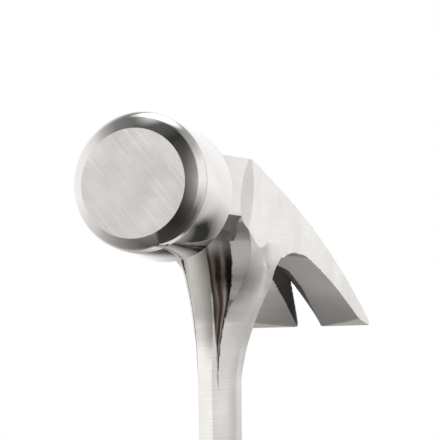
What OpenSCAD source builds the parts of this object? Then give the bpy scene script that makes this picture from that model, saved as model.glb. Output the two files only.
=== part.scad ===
// Framing hammer: a one-piece steel forging with a moulded two-layer grip.
// Millimetres. Handle along Z with the head on top, striking face toward -X,
// claw toward +X. The origin lies on the handle axis, at mid height of the grip.

/* [Overall] */
// Height from the bottom of the grip to the top of the bell
overall_length = 406; // [380:1:440]
// Distance from the striking face to the handle axis
reach = 57; // [56:0.5:58]

/* [Bell] */
// Diameter of the flat striking face
face_d = 24.3; // [23:0.1:25]
// Diameter just behind the rounded face edge
bell_front_d = 31; // [30.5:0.1:31.4]
// Diameter at the back rim
bell_rear_d = 31.7; // [31:0.1:32.4]
// Length of the bell from the face to its back rim
bell_l = 22; // [20:0.5:24]

/* [Neck and cheek] */
// Width of the neck behind the bell
neck_w = 16.8; // [15:0.1:18]
// Height of the neck top above the head axis
neck_top = 10.4; // [10:0.1:11]
// Depth of the neck underside below the head axis
neck_drop = 7.5; // [7:0.1:8]
// Width of the cheek above the shank
cheek_w = 25; // [24:0.1:26]
// Distance from the face to the end of the parallel neck
neck_x = 37.4; // [36:0.1:38.4]
// Distance from the face to the facet in front of the cheek
facet_x = 45.5; // [45:0.1:46]
// Distance from the face to the front of the flat cheek
cheek_x = 50; // [49:0.1:51]
// Distance from the face to the back of the flat cheek
cheek_end_x = 80; // [79:0.1:81]

/* [Claw] */
// Length of the head from the striking face to the claw tips
head_l = 153.3; // [148:0.1:156]
// Width across the two claw tips
claw_w = 39.2; // [36:0.1:42]
// Radius of the top of the head from cheek to claw tip
claw_top_r = 273.3; // [268:0.1:280]
// Radius of the underside of the claws
claw_low_r = 271.6; // [268:0.1:276]
// Distance from the face to the crest of the top circle
top_crest_x = 7.2; // [6:0.1:8]
// Height of the crest of the top circle above the head axis
top_crest_z = 13.8; // [13.4:0.1:14.2]
// Distance from the face to the crest of the underside circle
low_crest_x = 37.3; // [36:0.1:38]
// Depth of the crest of the underside circle below the head axis
low_crest_z = 6.1; // [5.8:0.1:6.4]
// Tilt of each claw underside up toward the nail slot, degrees
claw_hollow = 9; // [4:0.5:11]
// Width of the nail slot at the claw tips
slot_tip_w = 7.8; // [6.5:0.1:9]
// Width of the nail slot at its closed end
slot_end_w = 5.4; // [4.5:0.1:6]
// Distance from the face to the closed end of the nail slot
slot_end_x = 103.5; // [100:0.5:108]
// Radius of the arch between shank and claw
arch_r = 28; // [27.5:0.1:28.5]

/* [Grip] */
// Length of the moulded grip
grip_l = 165; // [150:1:180]
// Width of the hard core, front to back
core_w = 23; // [22:0.5:24]
// Thickness of the hard core, side to side
core_t = 14.5; // [13:0.5:15]
// Width of the steel tang inside the grip
tang_w = 15; // [13:0.5:16]
// Thickness of the steel tang
tang_t = 5.6; // [5:0.1:6]
// Diameter of the two holes that lock the core to the tang
lock_d = 7; // [5:0.5:9]
// Depth to which the shank enters the sleeve
shank_seat = 5; // [3:0.5:8]
// Number of finger grooves moulded round the sleeve
groove_n = 11; // [6:1:11]
// Distance from one finger groove to the next
groove_pitch = 8.6; // [7.5:0.1:9]
// Width of a finger groove
groove_w = 3.4; // [2.5:0.1:4.5]
// Depth of a finger groove
groove_d = 0.9; // [0.4:0.1:1.2]
// Height of the lowest finger groove above the butt
groove_low = 34; // [30:1:38]

/* [Hidden] */
$fn = 96;

steel = [0.74, 0.74, 0.73];
nylon = [0.20, 0.20, 0.21];
vinyl = [0.10, 0.10, 0.11];

// Heights along the handle, measured from the head axis
z_end = bell_rear_d / 2 - overall_length;
z_grip = z_end + grip_l;
z_mid = z_end + grip_l / 2;
z_shank_end = z_grip - shank_seat;
core_end = z_end + 5;
tang_end = core_end + 9;

// Half widths used all through the head
neck_h = neck_w / 2;
cheek_h = cheek_w / 2;
claw_h = claw_w / 2;
bell_r = bell_rear_d / 2;

// Circles that make the side view of the claw, as [centre x, centre z]
top_c = [top_crest_x, top_crest_z - claw_top_r];
low_c = [low_crest_x, -low_crest_z - claw_low_r];
arch_c = [85.5, -10.7 - arch_r];
z_join = -12.6;
function arch_x(z) = arch_c[0] - sqrt(arch_r * arch_r - pow(z - arch_c[1], 2));
x_arch = arch_x(z_join);

// Sections of the shank, from the straight part up to the neck. Each row is
// [z, front x, front half width, gully edge x and y, patch edge x and y,
//  ridge x and y, rear x and y], y given for one side.
shank_rows = [
    [-60, 46.8, 1.6, 47.9, 2.6, 47.9, 2.6, 57.2, 4.5, 65.0, 3.3],
    [-45, 46.8, 1.6, 48.4, 2.55, 48.4, 2.55, 57.5, 4.6, 65.1, 3.5],
    [-37, 46.8, 1.9, 49.1, 3.0, 49.1, 3.0, 57.8, 5.5, 65.5, 4.8],
    [-30, 46.1, 2.3, 50.2, 3.95, 50.3, 4.0, 59.5, 7.0, 66.7, 6.8],
    [-25, 44.9, 2.5, 51.0, 4.8, 51.3, 4.95, 62.0, 8.4, 67.8, 8.6],
    [-20, 43.2, 2.8, 51.4, 5.8, 53.0, 6.3, 64.7, 10.2, 68.8, 10.8],
    [-15.6, 41.3, 3.0, 50.6, 6.2, 57.6, 8.6, 64.9, 11.0, arch_x(-15.6) - 0.1, cheek_h - 0.7],
    [z_join, 39.6, 3.0, 47.4, 7.0, 49.8, cheek_h - 0.7, 62.0, cheek_h - 0.1, x_arch - 0.2, cheek_h - 0.2],
    [-10.6, 38.4, 3.0, 45.0, 7.4, 49.0, cheek_h - 0.8, 61.5, cheek_h - 0.2, x_arch - 1, cheek_h - 0.4],
    [-8, 36.8, 3.0, 42.5, 7.5, 46.6, 10.6, 62.5, cheek_h - 0.4, x_arch - 2, cheek_h - 0.6],
    [-5, 35.5, 3.0, 40.0, 7.4, 44.6, 9.6, 62.5, cheek_h - 0.8, x_arch - 3, cheek_h - 1]
];

// Smooth curve through the rows, from row i to row i + 1
function bend(a, b, c, d, t) =
    b + 0.5 * t * (c - a + t * (2 * a - 5 * b + 4 * c - d + t * (3 * (b - c) + d - a)));
function row(i) = shank_rows[max(0, min(len(shank_rows) - 1, i))];
function shank_row(i, t) = [for (k = [0:10]) bend(row(i - 1)[k], row(i)[k], row(i + 1)[k], row(i + 2)[k], t)];

// One closed section: front flat, hollow gully, side, ridge and rear flat
function gully(r, t) = [
    r[1] + (r[3] - r[1]) * t + 0.8 * t * (1 - t) * (r[4] - r[2]),
    r[2] + (r[4] - r[2]) * t - 0.8 * t * (1 - t) * (r[3] - r[1])
];
function half_section(r) = concat(
    [for (t = [0:0.25:1]) gully(r, t)],
    [[r[5] + 0.02, r[6] + 0.01], [r[7], r[8]], [r[9], r[10]]]
);
function ring(r) = let(h = half_section(r), n = len(h)) concat(
    [for (p = h) [p[0], -p[1], r[0]]],
    [for (i = [n - 1:-1:0]) [h[i][0], h[i][1], r[0]]]
);

// Place head coordinates in the frame of the whole tool
module place() {
    translate([-reach, 0, -z_mid]) children();
}

// Solid of revolution about the head axis
module bell() {
    round_r = 2.6;
    bevel = (bell_front_d - face_d) / 2 - 0.293 * round_r;
    x_round = bevel + 0.707 * round_r;
    front_r = bell_front_d / 2;
    face_r = face_d / 2;
    rim = 0.9;
    rotate([0, 90, 0]) {
        rotate_extrude($fn = 120) {
            polygon([
                [0, 0], [face_r, 0], [face_r + bevel, bevel], [front_r - round_r, x_round],
                [front_r, x_round], [bell_r, bell_l - rim], [bell_r - rim, bell_l],
                [neck_h + 2.2, bell_l + 0.8], [neck_h - 1, bell_l + 3], [0, bell_l + 3]
            ]);
            translate([front_r - round_r, x_round]) circle(r = round_r);
        }
    }
}

// Plan view of neck, cheek and claws
module head_plan() {
    polygon([
        [bell_l - 6, -neck_h], [neck_x, -neck_h], [facet_x, -cheek_h + 1], [cheek_x, -cheek_h],
        [cheek_end_x, -cheek_h], [head_l, -claw_h],
        [head_l, claw_h], [cheek_end_x, cheek_h],
        [cheek_x, cheek_h], [facet_x, cheek_h - 1], [neck_x, neck_h], [bell_l - 6, neck_h]
    ]);
}

// Side view of neck, cheek and claws, x along the head and y upward
module head_side() {
    difference() {
        intersection() {
            polygon([
                [bell_l - 6, neck_top], [bell_l - 6, -neck_drop], [44.3, -neck_drop],
                [47.9, z_join], [x_arch, z_join], [arch_c[0] + 2, z_join],
                [arch_c[0] + 2, -claw_w], [head_l + 1, -claw_w], [head_l + 1, neck_top]
            ]);
            translate(top_c) circle(r = claw_top_r, $fn = 720);
        }
        translate([40, -14]) circle(r = 8);
        intersection() {
            translate(arch_c) circle(r = arch_r);
            translate([x_arch - 8, -2 * arch_r]) square([arch_c[0] + 10 - x_arch, 2 * arch_r]);
        }
        // Flat ground on the underside of the claw tips
        polygon([[head_l - 7, -28.75], [head_l + 2, -30.45], [head_l + 2, -45], [head_l - 7, -45]]);
    }
}

// Cylinder that shapes the underside of one claw, rising toward the slot
module claw_under(side) {
    translate([0, side * 17, -20])
        rotate([-side * claw_hollow, 0, 0])
            translate([low_c[0], 0, low_c[1] + 20])
                rotate([90, 0, 0]) cylinder(r = claw_low_r, h = 3 * claw_w, center = true, $fn = 720);
}

// Hollow under both claws, which runs out into the top of the arch along a slanted plane
module claw_hollows() {
    depth = 2 * arch_r;
    intersection() {
        claw_under(1);
        claw_under(-1);
        translate([arch_c[0], -claw_w, arch_c[1] + arch_r])
            rotate([0, -14, 0]) translate([-8, 0, -depth]) cube([head_l, 2 * claw_w, depth]);
    }
}

// Tapered nail slot with a round end
module nail_slot() {
    end_r = slot_end_w / 2;
    translate([0, 0, -claw_w]) linear_extrude(2 * claw_w) {
        translate([slot_end_x + end_r, 0]) circle(r = end_r, $fn = 48);
        polygon([
            [slot_end_x + end_r, -end_r], [head_l + 2, -slot_tip_w / 2],
            [head_l + 2, slot_tip_w / 2], [slot_end_x + end_r, end_r]
        ]);
    }
}

// Neck, cheek and claws
module head_block() {
    difference() {
        intersection() {
            translate([0, claw_w, 0]) rotate([90, 0, 0]) linear_extrude(2 * claw_w) head_side();
            translate([0, 0, -2 * claw_w]) linear_extrude(3 * claw_w) head_plan();
        }
        claw_hollows();
        nail_slot();
        // Slanted edges along the top and bottom of the neck
        for (s = [-1, 1]) {
            translate([bell_l - 7, s * neck_h, neck_top])
                rotate([45, 0, 0]) cube([20, 4.2, 4.2], center = true);
            translate([bell_l - 7, s * neck_h, -neck_drop])
                rotate([45, 0, 0]) cube([44, 3.2, 3.2], center = true);
        }
    }
}

// Top of the shank, flaring from the straight bar into the cheek
module shank_flare() {
    steps = 4;
    last = len(shank_rows) - 1;
    rows = concat(
        [for (i = [0:last - 1], t = [0:1 / steps:0.99]) shank_row(i, t)],
        [shank_rows[last]]
    );
    rings = [for (r = rows) ring(r)];
    m = len(rings[0]);
    n = len(rings);
    points = [for (g = rings, p = g) p];
    polyhedron(points, concat(
        [[for (k = [0:m - 1]) k]],
        [for (i = [0:n - 2], k = [0:m - 1]) let(a = i * m, b = a + m, j = (k + 1) % m) [a + k, b + j, a + j]],
        [for (i = [0:n - 2], k = [0:m - 1]) let(a = i * m, b = a + m, j = (k + 1) % m) [a + k, b + k, b + j]],
        [[for (k = [m - 1:-1:0]) (n - 1) * m + k]]
    ));
}

// Straight part of the shank, seen along the handle
module shank_section() {
    h = half_section(shank_rows[0]);
    polygon(concat([for (p = h) [p[0], -p[1]]], [for (i = [len(h) - 1:-1:0]) h[i]]));
}

module shank_bar() {
    translate([0, 0, z_shank_end]) linear_extrude(-60 - z_shank_end) shank_section();
}

// Flat tang inside the grip, with two lock holes and a rounded end
module tang() {
    difference() {
        union() {
            translate([reach - tang_w / 2, -tang_t / 2, tang_end + tang_w / 2])
                cube([tang_w, tang_t, z_shank_end - tang_end - tang_w / 2 + 2]);
            translate([reach, 0, tang_end + tang_w / 2]) rotate([90, 0, 0])
                cylinder(d = tang_w, h = tang_t, center = true);
        }
        for (k = [0.25, 0.72]) translate([reach, 0, z_shank_end - k * grip_l]) rotate([90, 0, 0])
            cylinder(d = lock_d, h = tang_t + 2, center = true);
    }
}

// Rounded rectangle on the handle axis
module core_section() {
    r = core_t / 2;
    translate([reach - core_w / 2 + r, 0]) circle(r = r);
    translate([reach + core_w / 2 - r, 0]) circle(r = r);
    translate([reach - core_w / 2 + r, -r]) square([core_w - core_t, core_t]);
}

module core_block() {
    translate([0, 0, core_end]) linear_extrude(z_shank_end - core_end) core_section();
}

// Outside of the sleeve: rows of [share of the length, half width x, half width y, shift x]
sleeve_rows = [
    [0, 15.5, 12.0, 0.6], [0.015, 17.6, 13.6, 0.7], [0.05, 18.6, 14.2, 0.8], [0.12, 17.6, 13.4, 0.6],
    [0.30, 16.2, 12.9, 0], [0.52, 17.0, 13.7, -0.4], [0.74, 15.8, 12.7, 0], [0.90, 15.2, 12.2, 0],
    [0.965, 16.6, 13.0, 0], [0.985, 16.3, 12.8, 0], [1, 14.6, 11.2, 0]
];
function sleeve_row(i) = sleeve_rows[max(0, min(len(sleeve_rows) - 1, i))];
function sleeve_part(s, i = 0) = i >= len(sleeve_rows) - 2 || s < sleeve_rows[i + 1][0] ? i : sleeve_part(s, i + 1);
function sleeve_at(s, cut) =
    let(i = sleeve_part(s), t = (s - sleeve_row(i)[0]) / (sleeve_row(i + 1)[0] - sleeve_row(i)[0]))
    [for (k = [0:3]) k == 0 ? s
        : bend(sleeve_row(i - 1)[k], sleeve_row(i)[k], sleeve_row(i + 1)[k], sleeve_row(i + 2)[k], t) - (k < 3 ? cut : 0)];
function oval(r, n) = [for (k = [0:n - 1]) let(a = 360 * k / n, c = cos(a), s = sin(a))
    [reach + r[3] + r[1] * sign(c) * pow(abs(c), 0.85), r[2] * sign(s) * pow(abs(s), 0.85), z_end + r[0] * grip_l]];

// Sleeve with flat-bottomed finger grooves between its butt and its collar
module sleeve_body() {
    sides = 40;
    groove_top = groove_low + (groove_n - 1) * groove_pitch;
    lip = groove_w / 2;
    rows = concat(
        [for (s = [0, 0.006, 0.015, 0.03, 0.05, 0.085, 0.12, 0.15]) sleeve_at(s, 0)],
        [for (g = [0:groove_n - 1], e = [[-lip, 0], [-lip / 2, groove_d], [lip / 2, groove_d], [lip, 0]])
            sleeve_at((groove_low + g * groove_pitch + e[0]) / grip_l, e[1])],
        [for (s = [0.8, 0.85, 0.9, 0.935, 0.965, 0.976, 0.985, 0.993, 1]) if (s * grip_l > groove_top + lip + 1) sleeve_at(s, 0)]
    );
    n = len(rows);
    points = [for (r = rows, p = oval(r, sides)) p];
    polyhedron(points, concat(
        [[for (k = [0:sides - 1]) k]],
        [for (i = [0:n - 2], k = [0:sides - 1]) let(a = i * sides, b = a + sides, j = (k + 1) % sides)
            [a + k, b + j, a + j]],
        [for (i = [0:n - 2], k = [0:sides - 1]) let(a = i * sides, b = a + sides, j = (k + 1) % sides)
            [a + k, b + k, b + j]],
        [[for (k = [sides - 1:-1:0]) (n - 1) * sides + k]]
    ));
}

// Head, shank and tang, forged and ground in one piece
module forging() {
    color(steel) place() {
        bell();
        head_block();
        shank_flare();
        shank_bar();
        tang();
    }
}

// Hard core moulded round the tang and through its lock holes
module grip_core() {
    color(nylon) place() difference() {
        core_block();
        tang();
    }
}

// Soft sleeve moulded over the core, closed at the butt
module grip_sleeve() {
    color(vinyl) place() difference() {
        sleeve_body();
        core_block();
        translate([0, 0, z_shank_end]) linear_extrude(shank_seat + 1) shank_section();
    }
}

forging();
grip_core();
grip_sleeve();
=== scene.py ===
import math
from types import SimpleNamespace
import bpy
import numpy as np
from mathutils import Matrix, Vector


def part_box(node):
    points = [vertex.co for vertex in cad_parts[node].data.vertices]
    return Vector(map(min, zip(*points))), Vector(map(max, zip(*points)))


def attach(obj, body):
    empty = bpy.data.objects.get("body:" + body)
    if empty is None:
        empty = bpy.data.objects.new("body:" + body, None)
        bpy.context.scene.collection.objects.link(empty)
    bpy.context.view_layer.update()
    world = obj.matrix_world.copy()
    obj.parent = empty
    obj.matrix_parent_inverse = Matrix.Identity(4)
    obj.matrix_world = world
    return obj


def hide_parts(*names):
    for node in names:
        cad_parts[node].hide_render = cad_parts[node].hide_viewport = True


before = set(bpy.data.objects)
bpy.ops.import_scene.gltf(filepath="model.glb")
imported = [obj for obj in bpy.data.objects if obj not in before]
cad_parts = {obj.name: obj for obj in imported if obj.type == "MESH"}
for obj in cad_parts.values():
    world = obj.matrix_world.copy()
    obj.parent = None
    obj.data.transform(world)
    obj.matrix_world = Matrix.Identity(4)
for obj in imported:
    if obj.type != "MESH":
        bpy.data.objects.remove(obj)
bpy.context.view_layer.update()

# Forging body: neck, cheek, claws and shank, one drop forging of carbon steel that is ground to
# shape on belts and wheels. The bell and the tang below belong to the same forging.
# Lengths are millimetres from the striking face: x toward the claws, z up from the head axis.
MM = 0.001
cad_low, cad_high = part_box("forging")
bell_r = 15.85
face_to_origin = -cad_low[0] / MM
axis_height = cad_high[2] / MM - bell_r
head_l = (cad_high[0] - cad_low[0]) / MM
claw_h = (cad_high[1] - cad_low[1]) / MM / 2
neck_front, neck_h, neck_top, neck_drop = 16.0, 8.4, 10.4, 7.5
neck_chamfer, chamfer_fade, chamfer_fade_x = 3.0, 0.35, 24.0
chin_chamfer, chin_fade, chin_fade_x = 2.3, 0.4243, 36.0
flare_x, flare_slope, flare_lean = 37.4, 0.383, 0.3
cheek_x, cheek_h, cheek_foot, cheek_back = 48.1, 12.5, -12.6, 78.0
leaf_slope, leaf_lean, leaf_z = 0.15, 0.3, 5.0
leaf_depth, leaf_mid, leaf_reach = 0.42, 1.0, 8.5
spread_x, spread_power = 64.0, 1.25
arch_back, arch_blend, run_out_angle = 87.5, 4.0, math.radians(14)
tip_z, tip_slope, tip_l = -28.75, 0.189, 7.0
claw_tilt, tilt_y, tilt_z = ((100, 130, 152), (0.27, 0.3, 0.18)), 17.0, -20.0
slot_x, slot_open_x, slot_taper = 117.5, 131.0, 0.17
slot_low = ((slot_x, 130, 150), (3.3, 3.8, 3.95))
gully_dip, side_bulge = 0.75, 0.1
shank_top, shank_end = -2.0, -231.0
grid_step = 0.55

# Circles of the side view, as centre x, centre z and radius
claw_top = (7.2, -259.5, 273.3)
claw_low = (37.3, -277.7, 271.6)
arch = (85.5, -38.7, 28.0)
throat = (40.0, -15.5, 8.0)

# Sections of the shank: height, then x and half width of the front edge, the gully edge,
# the patch edge, the ridge and the rear edge
shank_columns = (
    "front_x", "front_h", "gully_x", "gully_h", "patch_x", "patch_h", "ridge_x", "ridge_h",
    "rear_x", "rear_h",
)
shank_rows = np.array([
    (-240, 46.8, 1.5, 48.3, 2.6, 48.35, 2.62, 57.2, 4.5, 65.0, 3.3),
    (-60, 46.8, 1.5, 48.3, 2.6, 48.35, 2.62, 57.2, 4.5, 65.0, 3.3),
    (-45, 46.8, 1.5, 48.5, 2.6, 48.55, 2.62, 57.5, 4.6, 65.1, 3.5),
    (-37, 46.8, 1.9, 49.1, 3.0, 49.15, 3.02, 57.8, 5.5, 65.5, 4.8),
    (-30, 46.1, 2.3, 50.2, 3.95, 50.25, 3.98, 59.5, 7.2, 66.7, 6.8),
    (-25, 44.9, 2.6, 51.0, 4.8, 51.1, 4.9, 62.0, 8.7, 67.8, 8.6),
    (-20, 43.2, 2.9, 51.4, 5.8, 52.4, 6.5, 64.7, 10.1, 68.8, 10.7),
    (-18, 42.4, 3.0, 50.8, 6.0, 52.4, 6.9, 64.8, 10.65, 69.1, 11.3),
    (-16, 41.5, 3.0, 49.6, 6.2, 52.0, 7.3, 64.8, 11.15, 69.2, 11.9),
    (-14, 40.4, 3.0, 48.2, 6.4, 50.5, 8.2, 62.0, 11.6, 71.5, 12.2),
    (-12, 39.3, 3.0, 47.2, 7.1, 48.3, 11.0, 61.0, 12.0, 74.0, 12.4),
    (-10, 38.0, 3.0, 46.2, 7.2, 47.2, 12.1, 61.0, 12.4, 75.0, 12.5),
    (-8, 36.8, 3.0, 44.6, 7.2, 45.4, 12.3, 61.0, 12.6, 76.0, 12.6),
    (-5, 35.5, 3.0, 41.0, 7.2, 42.0, 12.6, 61.0, 12.7, 77.0, 12.7),
    (0, 34.5, 3.0, 39.0, 7.2, 42.0, 12.8, 61.0, 12.8, 78.0, 12.8),
])

# The side toward the camera keeps more metal in the throat: height, then its own gully edge
# and patch edge
near_columns = ("gully_x", "gully_h", "patch_x", "patch_h")
near_rows = np.array([
    (-240, 48.3, 2.6, 48.35, 2.62), (-60, 48.3, 2.6, 48.35, 2.62), (-45, 48.5, 2.6, 48.55, 2.62),
    (-37, 49.1, 3.0, 49.15, 3.02), (-30, 50.2, 3.95, 50.25, 3.98), (-26, 50.9, 4.7, 51.2, 5.3),
    (-24, 51.1, 5.1, 51.7, 6.2), (-22, 51.0, 5.5, 51.8, 7.3), (-20, 50.4, 6.0, 51.4, 8.6),
    (-18, 49.2, 6.5, 50.4, 9.9), (-16, 48.2, 6.9, 49.4, 10.9), (-14, 47.6, 7.1, 48.6, 11.6),
    (-12, 47.0, 7.2, 48.0, 12.0), (-10, 46.2, 7.2, 47.2, 12.2), (-8, 44.6, 7.2, 45.4, 12.4),
    (-5, 41.0, 7.2, 42.0, 12.6), (0, 39.0, 7.2, 42.0, 12.8),
])


def smooth_rows(rows, heights):
    """Columns of the rows at the given heights, by cubic curves that never overshoot."""
    z = rows[:, 0]
    step = np.diff(z)
    i = np.clip(np.searchsorted(z, heights) - 1, 0, len(z) - 2)
    t = (heights - z[i]) / step[i]
    columns = []
    for column in rows.T[1:]:
        chord = np.diff(column) / step
        same_way = chord[:-1] * chord[1:] > 0
        before = step[:-1] / np.where(same_way, chord[:-1], 1.0)
        after = step[1:] / np.where(same_way, chord[1:], 1.0)
        slope = np.zeros_like(column)
        slope[1:-1] = np.where(same_way, (step[:-1] + step[1:]) / (before + after), 0.0)
        columns.append(
            column[i] * (1 + 2 * t) * (1 - t) ** 2 + column[i + 1] * t * t * (3 - 2 * t)
            + step[i] * t * (1 - t) * ((1 - t) * slope[i] - t * slope[i + 1])
        )
    return columns


rows_per_mm = 10
row_heights = np.linspace(-240, 0, 240 * rows_per_mm + 1)
far_table = dict(zip(shank_columns, smooth_rows(shank_rows, row_heights)))
near_table = dict(zip(near_columns, smooth_rows(near_rows, row_heights)))


def shank_section(y, z):
    """Edges of the shank's section at any points."""
    at = np.clip((z - row_heights[0]) * rows_per_mm, 0, len(row_heights) - 1.001)
    i = at.astype(int)
    t = at - i
    section = {name: column[i] + (column[i + 1] - column[i]) * t for name, column in far_table.items()}
    for name, column in near_table.items():
        section[name] = np.where(y < 0, column[i] + (column[i + 1] - column[i]) * t, section[name])
    return SimpleNamespace(**section)


def side_half(x, s):
    """Half width of the shank sides and the cheek foot behind the gully."""
    front = np.clip((x - s.patch_x) / (s.ridge_x - s.patch_x), 0, 1)
    back = np.clip((x - s.ridge_x) / (s.rear_x - s.ridge_x), 0, 1)
    bulge = side_bulge * front * (1 - front) * (s.ridge_x - s.patch_x)
    return s.patch_h + (s.ridge_h - s.patch_h) * front + bulge + (s.rear_h - s.ridge_h) * back


def claw_spread(x):
    """How far each side of the claws stands out from the flat cheek."""
    return (claw_h - cheek_h) * (np.maximum(x - spread_x, 0) / (head_l - spread_x)) ** spread_power


def plan_half(x, z):
    """Half width of the head seen from above: neck, flare, leaf-shaped facet, cheek and claws."""
    flare = neck_h + flare_slope * np.maximum(x - flare_x + flare_lean * (neck_top - z), 0.0)
    corner = leaf_depth * np.maximum(1 - ((z - leaf_mid) / leaf_reach) ** 2, 0.0)
    leaf = cheek_h - corner + leaf_slope * (x - cheek_x - leaf_lean * (z - leaf_z))
    return np.minimum(np.minimum(flare, leaf), cheek_h + claw_spread(x))


def ease(value, low, high):
    """Smooth step from 0 at low to 1 at high."""
    t = np.clip((value - low) / (high - low), 0, 1)
    return t * t * (3 - 2 * t)


def shank_field(x, y, z):
    """Below zero inside the shank."""
    s = shank_section(y, z)
    across = np.clip((x - s.front_x) / (s.gully_x - s.front_x), 0, 1)
    dip = gully_dip * ease(z, -27, -18) * across * (1 - across) * (s.gully_x - s.front_x)
    gully = s.front_h + (s.gully_h - s.front_h) * across - dip
    rise = (s.patch_h - s.gully_h) / np.maximum(s.patch_x - s.gully_x, 0.02)
    wall = gully + np.maximum(x - s.gully_x, 0) * rise
    half = np.where(x < s.patch_x, wall, side_half(x, s) + claw_spread(x))
    half = np.minimum(half, plan_half(x, z))
    body = np.maximum(np.maximum(np.abs(y) - half, s.front_x - x), x - s.rear_x)
    return np.maximum(body, np.maximum(z - shank_top, shank_end - z))


def past_circle(circle, x, z):
    """Distance outside a circle of the side view."""
    return np.hypot(x - circle[0], z - circle[1]) - circle[2]


def tip_plane(x):
    """Height of the bevel ground across the claw tips."""
    return tip_z - tip_slope * (x - head_l + tip_l)


def head_field(x, y, z):
    """Below zero inside the neck, cheek and claws."""
    a = np.abs(y)
    at_foot = (z < 0) & (x < cheek_back)
    foot = np.where(at_foot, side_half(x, shank_section(y, z)) + claw_spread(x), np.inf)
    sides = a - np.minimum(plan_half(x, z), foot)
    top = np.maximum(past_circle(claw_top, x, z), z - neck_top)
    chamfer = a + z - neck_h - neck_top + neck_chamfer - chamfer_fade * np.maximum(x - chamfer_fade_x, 0)
    chin = a - z - neck_h - neck_drop + chin_chamfer - chin_fade * np.maximum(x - chin_fade_x, 0)
    solid = np.maximum(np.maximum(sides, top), np.maximum(chamfer, chin) * math.sqrt(0.5))
    # Under the head, each cut is above zero where metal is ground away
    neck_cut = np.minimum(-neck_drop - z, throat[0] - x)
    throat_cut = -past_circle(throat, x, z)
    foot_cut = np.minimum(cheek_foot - z, arch_back - x)
    arch_cut = np.minimum(-past_circle(arch, x, z), arch_back - x)
    # Each claw's underside tilts up toward the slot and rounds into the arch
    tilt = np.interp(x, *claw_tilt)
    lifted = (a - tilt_y) * tilt + (z - tilt_z) * np.sqrt(1 - tilt * tilt) + tilt_z
    hollow = -past_circle(claw_low, x, lifted)
    below_arch = arch[1] + arch[2] - z
    run_out = below_arch * math.cos(run_out_angle) + (x - arch[0]) * math.sin(run_out_angle)
    blend = np.clip(0.5 + (run_out - hollow) / (2 * arch_blend), 0, 1)
    rounded = run_out + (hollow - run_out) * blend - arch_blend * blend * (1 - blend)
    claw_cut = np.minimum(rounded, x - cheek_back)
    tip_cut = tip_plane(x) - z
    # The nail slot is a V, wide under the claws and closing toward its inner end on top
    depth = np.maximum(-hollow, 0)
    cover = np.maximum(-past_circle(claw_top, x, z), 0)
    share = depth / (depth + cover + 1e-6)
    low_half = np.interp(x, *slot_low)
    slot_half = low_half + (slot_taper * (x - slot_open_x) - low_half) * share * (2 - share)
    slot_cut = (slot_half - np.hypot(np.minimum(x - slot_x, 0), a)) * 0.75
    for cut in (neck_cut, throat_cut, foot_cut, arch_cut, claw_cut, tip_cut, slot_cut):
        solid = np.maximum(solid, cut)
    return np.maximum(solid, np.maximum(x - head_l, neck_front - x))


def forging_field(x, y, z):
    """Below zero inside the steel."""
    return np.minimum(head_field(x, y, z), shank_field(x, y, z))


def slope_of(field, points, reach=0.02):
    """Unit vectors that point out of the metal."""
    slope = np.empty_like(points)
    for axis in range(3):
        shift = np.zeros(3)
        shift[axis] = reach
        slope[:, axis] = field(*(points + shift).T) - field(*(points - shift).T)
    return slope / np.maximum(np.linalg.norm(slope, axis=1, keepdims=True), 1e-12)


def crossings(field, low, high, value_low, value_high):
    """Points between low and high where the field passes zero."""
    for _ in range(6):
        t = np.clip(value_low / (value_low - value_high), 0.05, 0.95)[:, None]
        middle = low + t * (high - low)
        value = field(*middle.T)
        keep_low = (value < 0) == (value_low < 0)
        low = np.where(keep_low[:, None], middle, low)
        high = np.where(keep_low[:, None], high, middle)
        value_low = np.where(keep_low, value, value_low)
        value_high = np.where(keep_low, value_high, value)
    return (low + high) / 2


def contour(field, axes):
    """Corners and quads of the surface where the field is zero, with crisp edges kept.

    Each grid cell that the surface crosses gets one corner, set where the planes through the
    crossings on its edges meet.
    """
    count = [len(a) - 1 for a in axes]
    value = field(*np.meshgrid(*axes, indexing="ij"))
    cell_ids, points, normals, quads = [], [], [], []
    for axis in range(3):
        near = np.take(value, range(count[axis]), axis)
        far = np.take(value, range(1, count[axis] + 1), axis)
        at = np.argwhere((near < 0) != (far < 0))
        low = np.stack([axes[k][at[:, k]] for k in range(3)], 1)
        high = low.copy()
        high[:, axis] = axes[axis][at[:, axis] + 1]
        value_low, value_high = near[tuple(at.T)], far[tuple(at.T)]
        crossed = crossings(field, low, high, value_low, value_high)
        slope = slope_of(field, crossed)
        side_a, side_b = (axis + 1) % 3, (axis + 2) % 3
        quad = []
        for step_a, step_b in ((0, 0), (-1, 0), (-1, -1), (0, -1)):
            cell = at.copy()
            cell[:, side_a] += step_a
            cell[:, side_b] += step_b
            quad.append((cell[:, 0] * count[1] + cell[:, 1]) * count[2] + cell[:, 2])
            cell_ids.append(quad[-1])
            points.append(crossed)
            normals.append(slope)
        quad = np.stack(quad, 1)
        inward = value_high < 0
        quad[inward] = quad[inward][:, ::-1]
        quads.append(quad)
    points = np.concatenate(points)
    normals = np.concatenate(normals)
    cells, back = np.unique(np.concatenate(cell_ids), return_inverse=True)
    share = np.bincount(back).astype(float)
    middle = np.stack([np.bincount(back, points[:, k]) / share for k in range(3)], 1)
    offset = np.sum(normals * (points - middle[back]), 1)
    square = np.empty((len(cells), 3, 3))
    right = np.empty((len(cells), 3))
    for i in range(3):
        right[:, i] = np.bincount(back, normals[:, i] * offset)
        for j in range(3):
            square[:, i, j] = np.bincount(back, normals[:, i] * normals[:, j])
    square += np.eye(3) * (0.02 * share)[:, None, None]
    move = np.linalg.solve(square, right[:, :, None])[:, :, 0]
    at = np.stack(np.unravel_index(cells, count), 1)
    low = np.stack([axes[k][at[:, k]] for k in range(3)], 1)
    high = np.stack([axes[k][at[:, k] + 1] for k in range(3)], 1)
    corners = np.clip(middle + move, low, high)
    return corners, np.searchsorted(cells, np.concatenate(quads))


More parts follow.
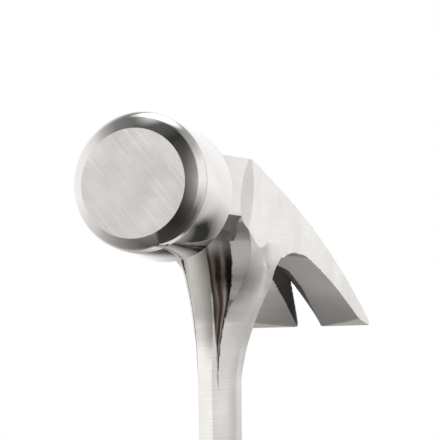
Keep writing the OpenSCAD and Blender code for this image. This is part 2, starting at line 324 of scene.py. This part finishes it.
def plain_mesh(name, corners, faces, normals=None):
    """Mesh in metres in the frame of the tool, from corners in head millimetres."""
    mesh = bpy.data.meshes.new(name)
    head_place = np.array([-face_to_origin, 0, axis_height])
    mesh.from_pydata(((corners + head_place) * MM).tolist(), [], [list(map(int, f)) for f in faces])
    mesh.shade_smooth()
    if normals is not None:
        mesh.normals_split_custom_set(normals.tolist())
    return mesh


def steps_between(low, high, step):
    """Evenly spaced values from low to high, about one step apart."""
    return np.linspace(low, high, int(round((high - low) / step)) + 1)


fine_from = -62.0
head_axes = (
    steps_between(neck_front - 2, head_l + 1.5, grid_step),
    steps_between(-claw_h - 1.2, claw_h + 1.2, grid_step),
    np.concatenate([
        steps_between(shank_end - 2, fine_from, 3.0)[:-1],
        steps_between(fine_from, neck_top + 1.6, grid_step),
    ]),
)
corners, quads = contour(forging_field, head_axes)
centres = corners[quads].mean(1)
inset = (corners[quads] * 0.7 + centres[:, None] * 0.3).reshape(-1, 3)
facing = slope_of(forging_field, inset)
body_mesh = plain_mesh("forging body", corners, quads, facing)


def keep_shade(mesh, name, values):
    """Store one number for each face corner."""
    layer = mesh.attributes.new(name, "FLOAT", "CORNER")
    layer.data.foreach_set("value", np.asarray(values, np.float32))


# The belts don't reach everywhere: the throat and the claw tips stay matt. The gully gets painted shade
# and painted reflections, fading out at both ends; the slot walls and claw undersides get painted shade.
x, y, z = inset.T
a = np.abs(y)
section = shank_section(y, z)
along = (x - section.front_x) / (section.gully_x - section.front_x)
on_front = along < 0.004
on_gully = ~on_front & (along < 1) & (z < -4) & (z > -47) & (a > section.front_h * 0.6)
# Painted shade and painted reflections in the gully, across its width and fading out at both ends
shade_edge = np.interp(z, (-47, -44, -41, -37, -33, -28), (1.0, 0.86, 0.76, 0.55, 0.2, 0.0))
scale = on_gully * ease(along, shade_edge, shade_edge + 0.12) * ease(-z, 7.5, 15)
in_throat = ease(-x, -68, -60) * ease(z, -38, -30) * ease(-z, 3, 4) * (a > 2)
on_wall = (along >= 1) & (x < section.patch_x + 0.3) & (a < 12.2) & (z > -22)
neck_root = ease(-facing[:, 0], 0.2, 0.5) * ease(z, -15, -12)
facing_down = ease(-facing[:, 2], 0.04, 0.2)
on_tip = np.abs(tip_plane(x) - z) < 0.05
matt = in_throat * np.maximum(np.maximum(facing_down, on_wall), neck_root) * (1 - scale)
matt = np.maximum(matt, on_tip)
# Painted shade on the claw undersides that face down and on the walls of the nail slot
under_claw_shade = (facing[:, 2] < -0.4) * ease(x, 88, 112) * (1 - on_tip) * (0.3 + 0.25 * ease(x, 115, 150))
slot_shade = (np.abs(facing[:, 1]) > 0.4) * (a < 4.4) * (x > 110) * 0.9
# A painted dark reflection on the shank's front face, stronger toward the side facing the camera
front_reflection = on_front * ease(-y / section.front_h, -0.7, 1.0) * ease(z, -42, -30) * (z < -8) * 0.6
# Masks of painted shade and painted reflection for the colour; the matt mask only roughens
keep_shade(body_mesh, "scale", scale)
keep_shade(body_mesh, "along", np.clip(along, 0, 1))
keep_shade(body_mesh, "forged", np.maximum(np.maximum(under_claw_shade, slot_shade), front_reflection))
keep_shade(body_mesh, "matt", matt)


def linear(hex_colour):
    """Linear colour from an sRGB hex value."""
    rgb = [int(hex_colour[i:i + 2], 16) / 255 for i in (1, 3, 5)]
    return [c / 12.92 if c <= 0.04045 else ((c + 0.055) / 1.055) ** 2.4 for c in rgb] + [1.0]


def fill(tree, node, inputs):
    """Give a node its inputs, by name or as i0, i1 and so on by number.

    An input is a value, a socket to link, or a node whose first output is linked.
    """
    for key, value in inputs.items():
        socket = node.inputs[int(key[1:]) if key[1:].isdigit() else key]
        if isinstance(value, bpy.types.Node):
            value = value.outputs[0]
        if isinstance(value, bpy.types.NodeSocket):
            tree.links.new(value, socket)
        else:
            socket.default_value = value


def add_node(tree, kind, settings=None, stops=(), **inputs):
    """Node of one kind with its settings, its colour stops and its inputs."""
    node = tree.nodes.new(kind if kind.startswith("Geometry") else "ShaderNode" + kind)
    for key, value in (settings or {}).items():
        setattr(node, key, value)
    for k, (at, colour) in enumerate(stops):
        stop = node.color_ramp.elements[k] if k < 2 else node.color_ramp.elements.new(at)
        stop.position = at
        stop.color = linear(colour) if isinstance(colour, str) else colour
    fill(tree, node, inputs)
    return node


def new_material(name):
    """New material, its node tree, its shader and the place of each point on the piece."""
    made = bpy.data.materials.new(name)
    made.use_nodes = True
    tree = made.node_tree
    return made, tree, tree.nodes["Principled BSDF"], add_node(tree, "TexCoord").outputs["Object"]


def once_every(size):
    """Scale of a pattern that repeats about once in a size in millimetres."""
    return 1 / (size * MM)


# Drop-forged carbon steel, belt ground: reflections softened by fine lines, with painted shade and
# painted reflections in brown and grey streaks down the gully. A belt's lines are finer than a pixel,
# so they are drawn 0.3 mm apart.
ground_line = (16.67, 16.67, 0.2941)
band_streak = (1.429, 1.429, 111.1)
ground_patch = 11.11
ground_steel, tree, shader, place = new_material("Ground carbon steel")
along_lines = add_node(tree, "Mapping", Vector=place, Scale=[once_every(size) for size in ground_line])
grain = add_node(tree, "TexNoise", Vector=along_lines, Scale=1.0, Detail=3.0)
cloud = add_node(tree, "TexNoise", Vector=place, Scale=once_every(ground_patch), Detail=4.0)
along_streaks = add_node(tree, "Mapping", Vector=place, Scale=[once_every(size) for size in band_streak])
streak = add_node(tree, "TexNoise", Vector=along_streaks, Scale=1.0, Detail=1.0)
masks = {
    name: add_node(tree, "Attribute", {"attribute_name": name}).outputs["Fac"]
    for name in ("scale", "along", "forged", "matt")
}
bright = add_node(tree, "ValToRGB", stops=((0.35, "#DAD7D3"), (0.7, "#E6E4E1")), Fac=cloud)
wavy = add_node(tree, "Math", {"operation": "MULTIPLY_ADD"}, i0=streak, i1=0.16, i2=masks["along"])
# Bands of painted reflection and painted shade across the gully: browns, a light grey and a black crease
painted_band_colours = (
    (0.08, "#5A4C46"), (0.3, "#463832"), (0.48, "#82736B"), (0.6, "#3E322D"), (0.74, "#4A403C"),
    (0.86, "#A8A19C"), (0.94, "#4E443F"), (1.0, "#3A322E"),
)
painted_gully = add_node(tree, "ValToRGB", stops=painted_band_colours, Fac=wavy)
in_colour = {"data_type": "RGBA"}
# The gully's painted shade and painted reflections go over the bright steel
gully_shaded = add_node(tree, "Mix", in_colour, i0=masks["scale"], i6=bright, i7=painted_gully).outputs[2]
# One dark colour for the painted shade under the claws and in the slot, and the front face's painted
# reflection
forged_skin = linear("#3E3B39")
colour = add_node(tree, "Mix", in_colour, i0=masks["forged"], i6=gully_shaded, i7=forged_skin).outputs[2]
rough = add_node(tree, "MapRange", Value=grain, i1=0.3, i2=0.7, i3=0.16, i4=0.26)
for name, skin_rough in (("matt", 0.5), ("scale", 0.5), ("forged", 0.6)):
    rough = add_node(tree, "Mix", i0=masks[name], i2=rough, i3=skin_rough)
relief = add_node(tree, "Bump", Height=grain, Strength=0.12, Distance=0.2 * MM)
fill(tree, shader, {"Metallic": 1.0, "Base Color": colour, "Roughness": rough, "Normal": relief})


def piece(name, mesh, material):
    """Object at the origin that shows one mesh."""
    obj = bpy.data.objects.new(name, mesh)
    bpy.context.scene.collection.objects.link(obj)
    mesh.materials.clear()
    mesh.materials.append(material)
    return obj


body = piece("forging_body", body_mesh, ground_steel)
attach(body, "root")
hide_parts("forging")

# Bell: the striking end of the forging, turned about the head axis and buffed bright, with a
# ground bevel round the flat face. Its shoulder stands a little high, as hand grinding leaves it.
bell_turns = 256
face_r = 11.95
shoulder_r, shoulder_x, shoulder_round = 15.5, 5.0, 4.4
shoulder = [
    (shoulder_x - shoulder_round * math.sin(t), shoulder_r - shoulder_round * (1 - math.cos(t)))
    for t in np.linspace(math.pi / 4, 0, 17)
]
back_rim = [(21.1, bell_r), (21.6, bell_r - 0.12), (21.95, bell_r - 0.5), (22.05, bell_r - 1.0)]
neck_cone = [(22.8, 10.6), (25.0, 7.4), (25.0, 0.0)]
bell_profile = [(0.0, 0.0), (0.0, face_r)] + shoulder + back_rim + neck_cone


def lathe(profile, turns):
    """Corners and faces of a profile of (x, radius) turned about the head axis."""
    angles = np.arange(turns) * 2 * math.pi / turns
    corners, faces, rings = [], [], []
    for x, r in profile:
        lift = float(np.interp(x, (0, 4, 21), (-0.15, 0.6, -0.2)))
        rings.append((len(corners), 1 if r == 0 else turns))
        if r == 0:
            corners.append((x, 0.0, lift))
        else:
            corners += [(x, r * math.cos(t), lift + r * math.sin(t)) for t in angles]
    for (first, first_n), (second, second_n) in zip(rings[:-1], rings[1:]):
        for k in range(turns):
            j = (k + 1) % turns
            ring = [first + k % first_n, first + j % first_n, second + j % second_n, second + k % second_n]
            faces.append(list(dict.fromkeys(ring)))
    return np.array(corners), faces


bell_mesh = plain_mesh("bell", *lathe(bell_profile, bell_turns))
bell_mesh.set_sharp_from_angle(angle=math.radians(24))

# Carbon steel buffed on a wheel: a near mirror that wavers a little
buff_patch = 14.29
polished_steel, tree, shader, place = new_material("Polished carbon steel")
waver = add_node(tree, "TexNoise", Vector=place, Scale=once_every(buff_patch), Detail=3.0)
rough = add_node(tree, "MapRange", Value=waver, i1=0.35, i2=0.7, i3=0.035, i4=0.07)
relief = add_node(tree, "Bump", Height=waver, Strength=0.12, Distance=0.8 * MM)
fill(tree, shader, {"Metallic": 1.0, "Base Color": linear("#E2E0DD"), "Roughness": rough, "Normal": relief})

# Carbon steel ground flat by hand: a satin face, with scratches that run across it on a slant.
# The scratches are drawn 0.3 mm apart, coarser than real ones, so that they show.
scratch = (1000, 0.3125, 14.29)
face_blotch = 6.25
satin_steel, tree, shader, place = new_material("Satin striking face")
slant = add_node(tree, "Mapping", Vector=place, Rotation=(math.radians(38), 0, 0))
along_scratches = add_node(tree, "Mapping", Vector=slant, Scale=[once_every(size) for size in scratch])
scratches = add_node(tree, "TexNoise", Vector=along_scratches, Scale=1.0, Detail=4.0)
blotch = add_node(tree, "TexNoise", Vector=place, Scale=once_every(face_blotch), Detail=4.0)
colour = add_node(tree, "ValToRGB", stops=((0.3, "#C6C3C1"), (0.72, "#D8D5D3")), Fac=blotch)
rough = add_node(tree, "MapRange", Value=scratches, i1=0.3, i2=0.7, i3=0.4, i4=0.55)
relief = add_node(tree, "Bump", Height=scratches, Strength=0.08, Distance=0.2 * MM)
fill(tree, shader, {"Metallic": 1.0, "Base Color": colour, "Roughness": rough, "Normal": relief})

bell = piece("forging_bell", bell_mesh, polished_steel)
bell_mesh.materials.append(satin_steel)
for face in bell_mesh.polygons[:bell_turns]:
    face.material_index = 1
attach(bell, "root")

# Tang: the end of the same forging, drawn down to a flat bar that runs inside the grip.
# It is never seen, and holds the nylon core by its length.
tang_half_x, tang_half_y = 7.5, 2.8
tang_top, tang_foot = shank_end + 4, -376.15
tang_outline = [(face_to_origin + tang_half_x, tang_top), (face_to_origin - tang_half_x, tang_top)] + [
    (face_to_origin + tang_half_x * math.cos(t), tang_foot + tang_half_x * (1 + math.sin(t)))
    for t in np.linspace(math.pi, 2 * math.pi, 25)
]
count = len(tang_outline)
tang_corners = np.array([(x, y, z) for y in (-tang_half_y, tang_half_y) for x, z in tang_outline])
tang_faces = [list(range(count)), list(range(2 * count - 1, count - 1, -1))]
tang_faces += [[(k + 1) % count, k, k + count, (k + 1) % count + count] for k in range(count)]
tang_mesh = plain_mesh("tang", tang_corners, tang_faces)
tang_mesh.set_sharp_from_angle(angle=math.radians(30))
tang = piece("forging_tang", tang_mesh, ground_steel)
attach(tang, "root")

# Grip core: glass-filled nylon moulded onto the tang and through its lock holes. The sleeve covers
# it, so the CAD solid carries over with only a material: dull near-black with faint pale fibres.
fibre_w = 1.111
nylon, tree, shader, place = new_material("Glass-filled nylon")
fibre = add_node(tree, "TexNoise", Vector=place, Scale=once_every(fibre_w), Detail=3.0)
colour = add_node(tree, "ValToRGB", stops=((0.35, "#232426"), (0.7, "#303134")), Fac=fibre)
rough = add_node(tree, "MapRange", Value=fibre, i1=0.3, i2=0.7, i3=0.45, i4=0.6)
fill(tree, shader, {"Base Color": colour, "Roughness": rough})
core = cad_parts["grip_core"]
core.data.materials.clear()
core.data.materials.append(nylon)

# Grip sleeve: soft charcoal vinyl moulded over the core in one shot, with a swelling
# palm, a flared butt and a rolled lip at the shank. Eleven grooves ring it for the fingers.
sleeve_low, sleeve_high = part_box("grip_sleeve")
sleeve_l = (sleeve_high[2] - sleeve_low[2]) / MM
sleeve_foot = sleeve_low[2] / MM - axis_height
sleeve_turns = 112
sleeve_steps = 420
section_power = 0.85
# Sections up the sleeve: share of the length, half widths along x and y, and shift along x
sleeve_rows = np.array([
    (0, 15.5, 12.0, 0.6), (0.015, 17.6, 13.6, 0.7), (0.05, 18.6, 14.2, 0.8), (0.12, 17.6, 13.4, 0.6),
    (0.30, 16.2, 12.9, 0.0), (0.52, 17.0, 13.7, -0.4), (0.74, 15.8, 12.7, 0.0), (0.90, 15.2, 12.2, 0.0),
    (0.965, 16.6, 13.0, 0.0), (0.985, 16.3, 12.8, 0.0), (1, 14.6, 11.2, 0.0),
])
shares = np.linspace(0, 1, sleeve_steps + 1)[:, None]
half_x, half_y, shift = smooth_rows(sleeve_rows, shares)
angles = np.arange(sleeve_turns) * 2 * math.pi / sleeve_turns
ring_x, ring_y = (np.sign(way) * np.abs(way) ** section_power for way in (np.cos(angles), np.sin(angles)))
sleeve_corners = np.stack([
    face_to_origin + shift + half_x * ring_x,
    half_y * ring_y,
    np.broadcast_to(sleeve_foot + shares * sleeve_l, (sleeve_steps + 1, sleeve_turns)),
], 2).reshape(-1, 3)
sleeve_faces = [list(range(sleeve_turns))[::-1]]
for low in range(0, sleeve_steps * sleeve_turns, sleeve_turns):
    for j in range(sleeve_turns):
        k = (j + 1) % sleeve_turns
        sleeve_faces.append([low + j, low + k, low + sleeve_turns + k, low + sleeve_turns + j])
sleeve_faces.append([sleeve_steps * sleeve_turns + j for j in range(sleeve_turns)])
sleeve_mesh = plain_mesh("sleeve", sleeve_corners, sleeve_faces)

# Soft moulded vinyl: dull charcoal with a fine pebbled skin, a little polished by hands in places
skin_w, wear_patch = 0.4545, 16.67
vinyl, tree, shader, place = new_material("Charcoal vinyl")
skin = add_node(tree, "TexNoise", Vector=place, Scale=once_every(skin_w), Detail=2.0)
wear = add_node(tree, "TexNoise", Vector=place, Scale=once_every(wear_patch), Detail=4.0)
colour = add_node(tree, "ValToRGB", stops=((0.35, "#26272A"), (0.7, "#34363A")), Fac=wear)
rough = add_node(tree, "MapRange", Value=wear, i1=0.3, i2=0.7, i3=0.5, i4=0.66)
relief = add_node(tree, "Bump", Height=skin, Strength=0.25, Distance=0.3 * MM)
fill(tree, shader, {"Base Color": colour, "Roughness": rough, "Normal": relief})

# The grooves repeat up the sleeve, so a Geometry Nodes tree presses them in by rule
groove_sizes = {
    "First groove": sleeve_low[2] + 34 * MM, "Pitch": 8.6 * MM, "Last groove": 10.0, "Half width": 1.7 * MM,
    "Depth": 0.9 * MM,
}
groove_tree = bpy.data.node_groups.new("Sleeve grooves", "GeometryNodeTree")
groove_tree.interface.new_socket("Geometry", in_out="INPUT", socket_type="NodeSocketGeometry")
groove_tree.interface.new_socket("Geometry", in_out="OUTPUT", socket_type="NodeSocketGeometry")
groove_ids = {}
for label in groove_sizes:
    socket = groove_tree.interface.new_socket(label, in_out="INPUT", socket_type="NodeSocketFloat")
    groove_ids[label] = socket.identifier
given = groove_tree.nodes.new("NodeGroupInput").outputs
result = groove_tree.nodes.new("NodeGroupOutput")

subtract, divide, multiply = ({"operation": name} for name in ("SUBTRACT", "DIVIDE", "MULTIPLY"))
smooth = {"interpolation_type": "SMOOTHSTEP"}
outward = add_node(groove_tree, "GeometryNodeInputNormal")
spot = add_node(groove_tree, "GeometryNodeInputPosition")
spot_z = add_node(groove_tree, "SeparateXYZ", Vector=spot).outputs["Z"]
# The nearest groove is the height above the first in pitches, rounded and kept within the row
above_first = add_node(groove_tree, "Math", subtract, i0=spot_z, i1=given["First groove"])
pitches = add_node(groove_tree, "Math", divide, i0=above_first, i1=given["Pitch"])
nearest = add_node(groove_tree, "Math", {"operation": "ROUND"}, i0=pitches)
nearest = add_node(groove_tree, "Math", {"operation": "MINIMUM"}, i0=nearest, i1=given["Last groove"])
nearest = add_node(groove_tree, "Math", {"operation": "MAXIMUM"}, i0=nearest, i1=0.0)
groove_z = add_node(groove_tree, "Math", multiply, i0=nearest, i1=given["Pitch"])
past_groove = add_node(groove_tree, "Math", subtract, i0=above_first, i1=groove_z)
away = add_node(groove_tree, "Math", {"operation": "ABSOLUTE"}, i0=past_groove)
share_away = add_node(groove_tree, "Math", divide, i0=away, i1=given["Half width"])
# The wall falls from the groove's edge to a flat floor over the middle third of its width
pressing = add_node(groove_tree, "MapRange", smooth, Value=share_away, i1=1.0, i2=0.35)
inward_depth = add_node(groove_tree, "Math", multiply, i0=given["Depth"], i1=-1.0)
press = add_node(groove_tree, "Math", multiply, i0=pressing, i1=inward_depth)
push = add_node(groove_tree, "VectorMath", {"operation": "SCALE"}, Vector=outward, Scale=press)
pressed = add_node(groove_tree, "GeometryNodeSetPosition", Geometry=given["Geometry"], Offset=push)
whole = add_node(groove_tree, "GeometryNodeRealizeInstances", Geometry=pressed)
coated = add_node(groove_tree, "GeometryNodeSetMaterial", Geometry=whole, Material=vinyl)
fill(groove_tree, result, {"i0": coated})

blank = piece("sleeve_blank", sleeve_mesh, vinyl)
grooves = blank.modifiers.new("Grooves", "NODES")
grooves.node_group = groove_tree
for label, size in groove_sizes.items():
    grooves[groove_ids[label]] = size
bpy.context.view_layer.update()
evaluated = blank.evaluated_get(bpy.context.evaluated_depsgraph_get())
grooved_mesh = bpy.data.meshes.new_from_object(evaluated)
blank.modifiers.remove(grooves)
bpy.data.objects.remove(blank)
sleeve = piece("grip_sleeve_vinyl", grooved_mesh, vinyl)
grooved_mesh.set_sharp_from_angle(angle=math.radians(50))
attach(sleeve, "root")
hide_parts("grip_sleeve")

# Floor: a plain disc of pale card under the butt of the grip. It is kept out of the steel's
# reflections, which the light tent below gives.
floor_r, floor_turns, card_patch = 0.6, 96, 25
floor_mesh = bpy.data.meshes.new("floor")
floor_angles = np.arange(floor_turns) * 2 * math.pi / floor_turns
floor_ring = [(floor_r * math.cos(t), floor_r * math.sin(t), sleeve_low[2]) for t in floor_angles]
floor_mesh.from_pydata(floor_ring, [], [list(range(floor_turns))])
# Uncoated card: matt, and faintly uneven in tone
pale_card, tree, shader, place = new_material("Pale card")
mottle = add_node(tree, "TexNoise", Vector=place, Scale=once_every(card_patch), Detail=2.0)
colour = add_node(tree, "ValToRGB", stops=((0, "#ECECEB"), (1, "#F4F4F3")), Fac=mottle)
fill(tree, shader, {"Base Color": colour, "Roughness": 0.8})
floor = piece("floor", floor_mesh, pale_card)
floor.visible_glossy = False

# Camera: in front of the face, to one side and below, as the photograph was taken
photo_px, focal_px, sensor = 440, 1300.77, 36.0
yaw, pitch, roll = math.radians(17.748), math.radians(5.399), math.radians(-1.289)
camera_spot = np.array([-257.82 - face_to_origin, -102.06, -34.68 + axis_height]) * MM
forward = np.array([math.cos(pitch) * math.cos(yaw), math.cos(pitch) * math.sin(yaw), math.sin(pitch)])
level = np.cross(forward, [0, 0, 1])
level /= np.linalg.norm(level)
upright = np.cross(level, forward)
right = math.cos(roll) * level + math.sin(roll) * upright
above = -math.sin(roll) * level + math.cos(roll) * upright
camera_data = bpy.data.cameras.new("Photo camera")
camera_data.sensor_width = sensor
camera_data.lens = focal_px * sensor / photo_px
camera = bpy.data.objects.new("Photo camera", camera_data)
camera.matrix_world = Matrix([*zip(right, above, -forward, camera_spot), (0, 0, 0, 1)])
bpy.context.scene.collection.objects.link(camera)
bpy.context.scene.camera = camera

# Light tent: pale cloth walls all round with darker gaps, which the steel reflects. Each wall is
# a list of height in degrees and grey level; the camera itself sees plain white behind the tool.
tent_front = (
    (-90, 90), (-60, 190), (-45, 205), (-30, 175), (-20, 190), (-10, 230), (0, 250), (35, 245), (50, 130),
    (65, 70), (90, 90),
)
tent_right_front = (
    (-90, 60), (-50, 40), (-30, 50), (-10, 70), (10, 95), (25, 90), (45, 70), (60, 50), (90, 95),
)
tent_right = (
    (-90, 60), (-45, 60), (-30, 90), (-20, 150), (-10, 195), (5, 235), (25, 230), (45, 165), (60, 150),
    (90, 110),
)
tent_gap = (
    (-90, 60), (-45, 60), (-30, 90), (-20, 140), (-10, 175), (5, 190), (25, 190), (45, 160), (60, 150),
    (90, 110),
)
tent_back = (
    (-90, 120), (-60, 205), (-45, 220), (-32, 205), (-26, 150), (-20, 50), (-15, 45), (-11, 130), (-5, 190),
    (0, 220), (15, 228), (45, 230), (60, 225), (90, 120),
)
tent_left = (
    (-90, 70), (-70, 105), (-50, 140), (-35, 170), (-25, 200), (-10, 220), (0, 235), (25, 230), (35, 215),
    (45, 165), (55, 120), (70, 105), (90, 95),
)
# Turn in degrees where each wall starts to take over from the last, where it is full, and the wall
tent_turns = (
    (-160, -142, tent_right_front), (-122, -98, tent_right), (-42, -39, tent_gap), (-32.5, -29.5, tent_right),
    (-19, -11, tent_back), (10, 40, tent_left), (95, 140, tent_front),
)
warm_tint = (0.01, -0.02, -0.045)
tent_strength, white = 1.35, (1, 1, 1, 1)
world = bpy.data.worlds.new("Light tent")
bpy.context.scene.world = world
world.use_nodes = True
tree = world.node_tree
toward = add_node(tree, "TexCoord").outputs["Generated"]
toward_parts = add_node(tree, "SeparateXYZ", Vector=toward).outputs
height = add_node(tree, "MapRange", Value=toward_parts["Z"], i1=-1.0, i2=1.0)
turn = add_node(tree, "Math", {"operation": "ARCTAN2"}, i0=toward_parts["Y"], i1=toward_parts["X"])


def tent_wall(wall):
    """Colour up one wall of the tent, a little warm below the horizon."""
    stops = []
    for degrees, level in wall:
        sine = math.sin(math.radians(degrees))
        warm = min(1, max(0, -sine * 1.6))
        grey = linear("#%02X%02X%02X" % (level, level, level))
        stops.append(((sine + 1) / 2, [c * (1 + t * warm) for c, t in zip(grey, warm_tint)] + [1]))
    return add_node(tree, "ValToRGB", stops=stops, Fac=height)


walls = tent_wall(tent_front)
for start, full, wall in tent_turns:
    share = add_node(tree, "MapRange", smooth, Value=turn, i1=math.radians(start), i2=math.radians(full))
    walls = add_node(tree, "Mix", in_colour, i0=share, i6=walls, i7=tent_wall(wall)).outputs[2]
# A soft glow in the roof, where the lamp shines through the cloth
lamp_way, glow_edge, glow_full = (0.22, 0.02, 0.975), 0.46, 0.24
lamp_dot = add_node(tree, "VectorMath", {"operation": "DOT_PRODUCT"}, i0=toward, i1=lamp_way)
near_lamp = lamp_dot.outputs["Value"]
glow = add_node(tree, "MapRange", smooth, Value=near_lamp, i1=math.cos(glow_edge), i2=math.cos(glow_full))
walls = add_node(tree, "Mix", in_colour, i0=glow, i6=walls, i7=white).outputs[2]
seen = add_node(tree, "LightPath").outputs["Is Camera Ray"]
backdrop = add_node(tree, "Mix", in_colour, i0=seen, i6=walls, i7=white).outputs[2]
strength = add_node(tree, "MapRange", Value=seen, i3=tent_strength, i4=1.0)
fill(tree, tree.nodes["Background"], {"Color": backdrop, "Strength": strength})

# Overhead lamp: one round softbox above the head
lamp_data = bpy.data.lights.new("Overhead softbox", "AREA")
lamp_data.shape = "DISK"
lamp_data.size = 0.30
lamp_data.energy = 0.45
lamp = bpy.data.objects.new("Overhead softbox", lamp_data)
lamp.location = (0.07, 0.015, 0.81)
lamp.rotation_euler = (math.radians(2), math.radians(8), 0)
bpy.context.scene.collection.objects.link(lamp)
bpy.context.scene.view_settings.view_transform = "Standard"
